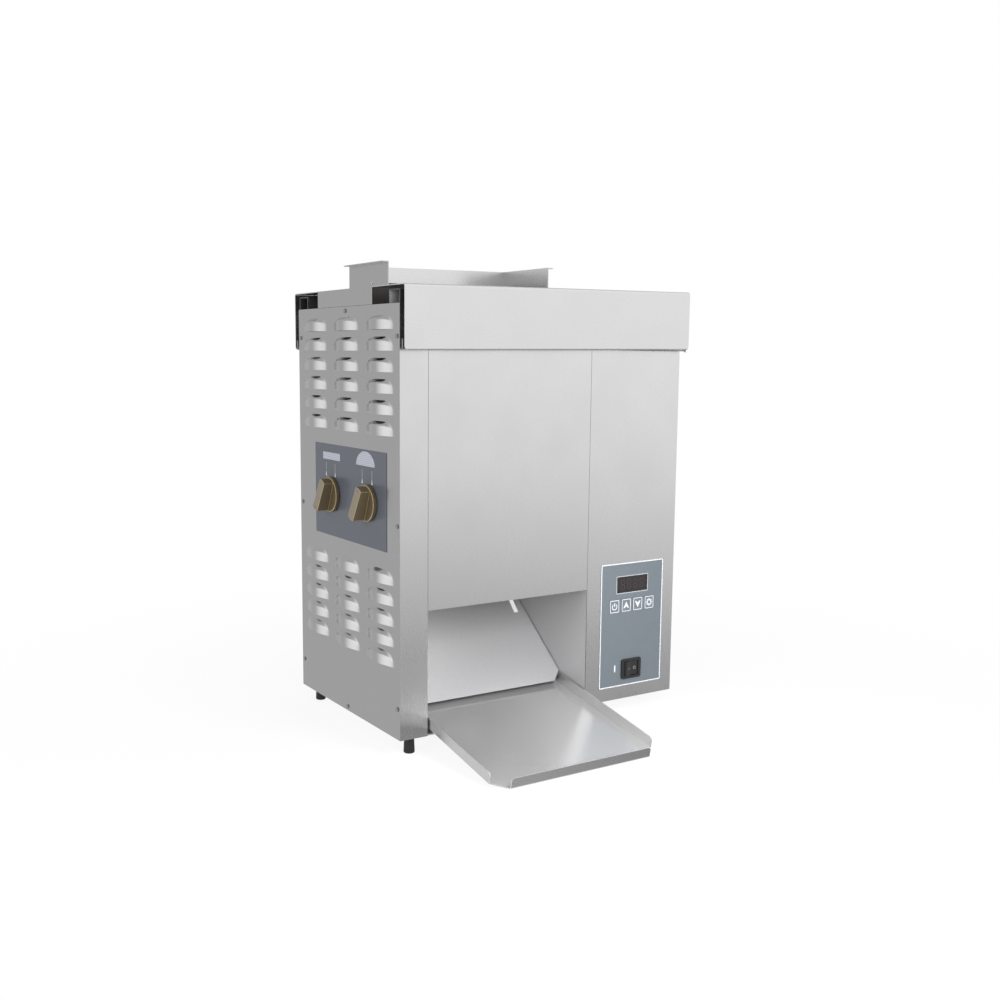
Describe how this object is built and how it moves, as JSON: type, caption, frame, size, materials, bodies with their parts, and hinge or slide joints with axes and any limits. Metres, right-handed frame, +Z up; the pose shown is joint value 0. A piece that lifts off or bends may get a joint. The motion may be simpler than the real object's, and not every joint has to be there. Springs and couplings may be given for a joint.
{
  "type": "conveyor toaster",
  "caption": "Upright conveyor toaster with a top feeder, louvred sides, two spacing knobs, a control panel, an inner chute and a sloping pull-out tray.",
  "frame": {"origin": "on the counter, under the middle of the whole part's box", "axes": "+X to the right as the operator faces the front, +Y to the back, +Z up"},
  "size_m": [0.428, 0.4098, 0.55],
  "materials": {
    "cabinet_sheet": "fine brushed stainless sheet",
    "front_sheet": "fine brushed stainless sheet",
    "cap_sheet": "fine brushed stainless sheet",
    "inner_sheet": "mill finish steel sheet",
    "zinc_steel": "zinc plated",
    "black_rubber": "moulded, matt",
    "cast_aluminium": "machined casting",
    "heater_steel": "heat tinted tube",
    "release_sheet": "coated glass cloth",
    "belt_silicone": "smooth silicone",
    "roller_steel": "turned",
    "gear_steel": "hobbed, oiled",
    "bronze_bush": "sintered",
    "motor_paint": "black enamel",
    "knob_plastic": "bronze coloured moulding",
    "label_film": "printed film",
    "display_window": "smoked window",
    "circuit_board": "solder resist",
    "black_plastic": "moulded",
    "key_film": "printed film over a key"
  },
  "bodies": {
    "cabinet": {"left_side_panel": "cabinet_sheet", "right_side_panel": "cabinet_sheet", "left_front_post": "cabinet_sheet", "control_fascia": "cabinet_sheet", "rear_panel": "cabinet_sheet", "base_pan": "cabinet_sheet", "left_inner_wall": "inner_sheet", "right_inner_wall": "inner_sheet", "top_frame": "inner_sheet", "feed_guides": "inner_sheet", "heat_shields": "inner_sheet", "platen_ridge": "inner_sheet", "platen_brackets": "inner_sheet", "chute": "inner_sheet", "motor_bracket": "inner_sheet", "panel_screws": "zinc_steel", "tray_rod": "zinc_steel", "fan_guard": "zinc_steel", "feet": "black_rubber", "cap_pads": "black_rubber", "platen": "cast_aluminium", "heater_elements": "heater_steel", "release_sheet": "release_sheet", "shaft_bushes": "bronze_bush", "gear_motor": "motor_paint", "knob_label": "label_film", "control_label": "label_film", "display_window": "display_window", "control_board": "circuit_board", "power_inlet": "black_plastic", "fan_frame": "black_plastic", "rocker_housing": "black_plastic", "high_limit_thermostat": "black_plastic"},
    "front_panel": {"front_panel": "front_sheet"},
    "cap": {"cap": "cap_sheet"},
    "feeder": {"feeder_left_plate": "cap_sheet", "feeder_right_plate": "cap_sheet", "feeder_back_wall": "cap_sheet"},
    "tray": {"tray": "inner_sheet"},
    "crown_carrier": {"crown_carrier": "inner_sheet", "crown_belt": "belt_silicone"},
    "heel_carrier": {"heel_carrier": "inner_sheet", "heel_belt": "belt_silicone"},
    "crown_idler": {"crown_idler_roller": "roller_steel"},
    "heel_idler": {"heel_idler_roller": "roller_steel"},
    "crown_drive": {"crown_drive_roller": "roller_steel", "crown_drive_gear": "gear_steel"},
    "heel_drive": {"heel_drive_roller": "roller_steel", "heel_drive_gear": "gear_steel"},
    "motor_output": {"motor_output": "roller_steel"},
    "crown_knob": {"crown_knob": "knob_plastic", "crown_cam_shaft": "zinc_steel"},
    "heel_knob": {"heel_knob": "knob_plastic", "heel_cam_shaft": "zinc_steel"},
    "fan_rotor": {"fan_rotor": "black_plastic"},
    "rocker_paddle": {"rocker_paddle": "black_plastic"},
    "key_power": {"key_power": "key_film"},
    "key_up": {"key_up": "key_film"},
    "key_down": {"key_down": "key_film"},
    "key_settings": {"key_settings": "key_film"}
  },
  "joints": [
    {"name": "crown_carrier_swing", "type": "hinge", "parent": "cabinet", "child": "crown_carrier", "pos_m": [-0.09295, 0.00189, 0.198], "axis": [1, 0, 0], "range_deg": [-1.49, 1.49]},
    {"name": "crown_knob_turn", "type": "hinge", "parent": "cabinet", "child": "crown_knob", "pos_m": [-0.19295, 0.00739, 0.281], "axis": [1, 0, 0], "range_deg": [-60, 60]},
    {"name": "heel_carrier_swing", "type": "hinge", "parent": "cabinet", "child": "heel_carrier", "pos_m": [-0.09295, 0.09839, 0.198], "axis": [1, 0, 0], "range_deg": [-1.49, 1.49]},
    {"name": "heel_knob_turn", "type": "hinge", "parent": "cabinet", "child": "heel_knob", "pos_m": [-0.19295, 0.10139, 0.281], "axis": [1, 0, 0], "range_deg": [-60, 60]},
    {"name": "crown_drive_spin", "type": "hinge", "parent": "cabinet", "child": "crown_drive", "pos_m": [-0.09295, 0.00189, 0.198], "axis": [1, 0, 0], "continuous": true},
    {"name": "heel_drive_spin", "type": "hinge", "parent": "cabinet", "child": "heel_drive", "pos_m": [-0.09295, 0.09839, 0.198], "axis": [1, 0, 0], "continuous": true},
    {"name": "motor_spin", "type": "hinge", "parent": "cabinet", "child": "motor_output", "pos_m": [0.07705, 0.00189, 0.26233], "axis": [1, 0, 0], "continuous": true},
    {"name": "crown_idler_spin", "type": "hinge", "parent": "crown_carrier", "child": "crown_idler", "pos_m": [-0.09295, 0.00189, 0.46], "axis": [1, 0, 0], "continuous": true},
    {"name": "heel_idler_spin", "type": "hinge", "parent": "heel_carrier", "child": "heel_idler", "pos_m": [-0.09295, 0.09839, 0.46], "axis": [1, 0, 0], "continuous": true},
    {"name": "fan_spin", "type": "hinge", "parent": "cabinet", "child": "fan_rotor", "pos_m": [0.1381, 0.18089, 0.35], "axis": [0, 1, 0], "continuous": true},
    {"name": "rocker_tilt", "type": "hinge", "parent": "cabinet", "child": "rocker_paddle", "pos_m": [0.13945, -0.06361, 0.0579], "axis": [0, 0, 1], "range_deg": [-20, 0]},
    {"name": "key_power_press", "type": "slide", "parent": "cabinet", "child": "key_power", "axis": [0, 1, 0], "range_m": [0, 0.0008], "stiffness_N_per_m": 600, "springref_m": -0.0008},
    {"name": "key_up_press", "type": "slide", "parent": "cabinet", "child": "key_up", "axis": [0, 1, 0], "range_m": [0, 0.0008], "stiffness_N_per_m": 600, "springref_m": -0.0008},
    {"name": "key_down_press", "type": "slide", "parent": "cabinet", "child": "key_down", "axis": [0, 1, 0], "range_m": [0, 0.0008], "stiffness_N_per_m": 600, "springref_m": -0.0008},
    {"name": "key_settings_press", "type": "slide", "parent": "cabinet", "child": "key_settings", "axis": [0, 1, 0], "range_m": [0, 0.0008], "stiffness_N_per_m": 600, "springref_m": -0.0008},
    {"name": "front_panel_lift", "type": "slide", "parent": "cabinet", "child": "front_panel", "axis": [0, 0, 1], "range_m": [0, 0.012]},
    {"name": "cap_lift", "type": "slide", "parent": "cabinet", "child": "cap", "axis": [0, 0, 1], "range_m": [0, 0.08]},
    {"name": "feeder_lift", "type": "slide", "parent": "cap", "child": "feeder", "axis": [0, 0, 1], "range_m": [0, 0.06]},
    {"name": "tray_tilt", "type": "hinge", "parent": "cabinet", "child": "tray", "pos_m": [-0.09295, -0.00711, 0.0355], "axis": [-1, 0, 0], "range_deg": [0, 12]}
  ],
  "couplings": [
    {"joint": "crown_knob_turn", "follows": "crown_carrier_swing", "ratio": 40.155},
    {"joint": "heel_knob_turn", "follows": "heel_carrier_swing", "ratio": 40.155},
    {"joint": "heel_drive_spin", "follows": "crown_drive_spin", "ratio": -1},
    {"joint": "motor_spin", "follows": "crown_drive_spin", "ratio": -3},
    {"joint": "crown_idler_spin", "follows": "crown_drive_spin", "ratio": 1},
    {"joint": "heel_idler_spin", "follows": "crown_drive_spin", "ratio": -1}
  ]
}
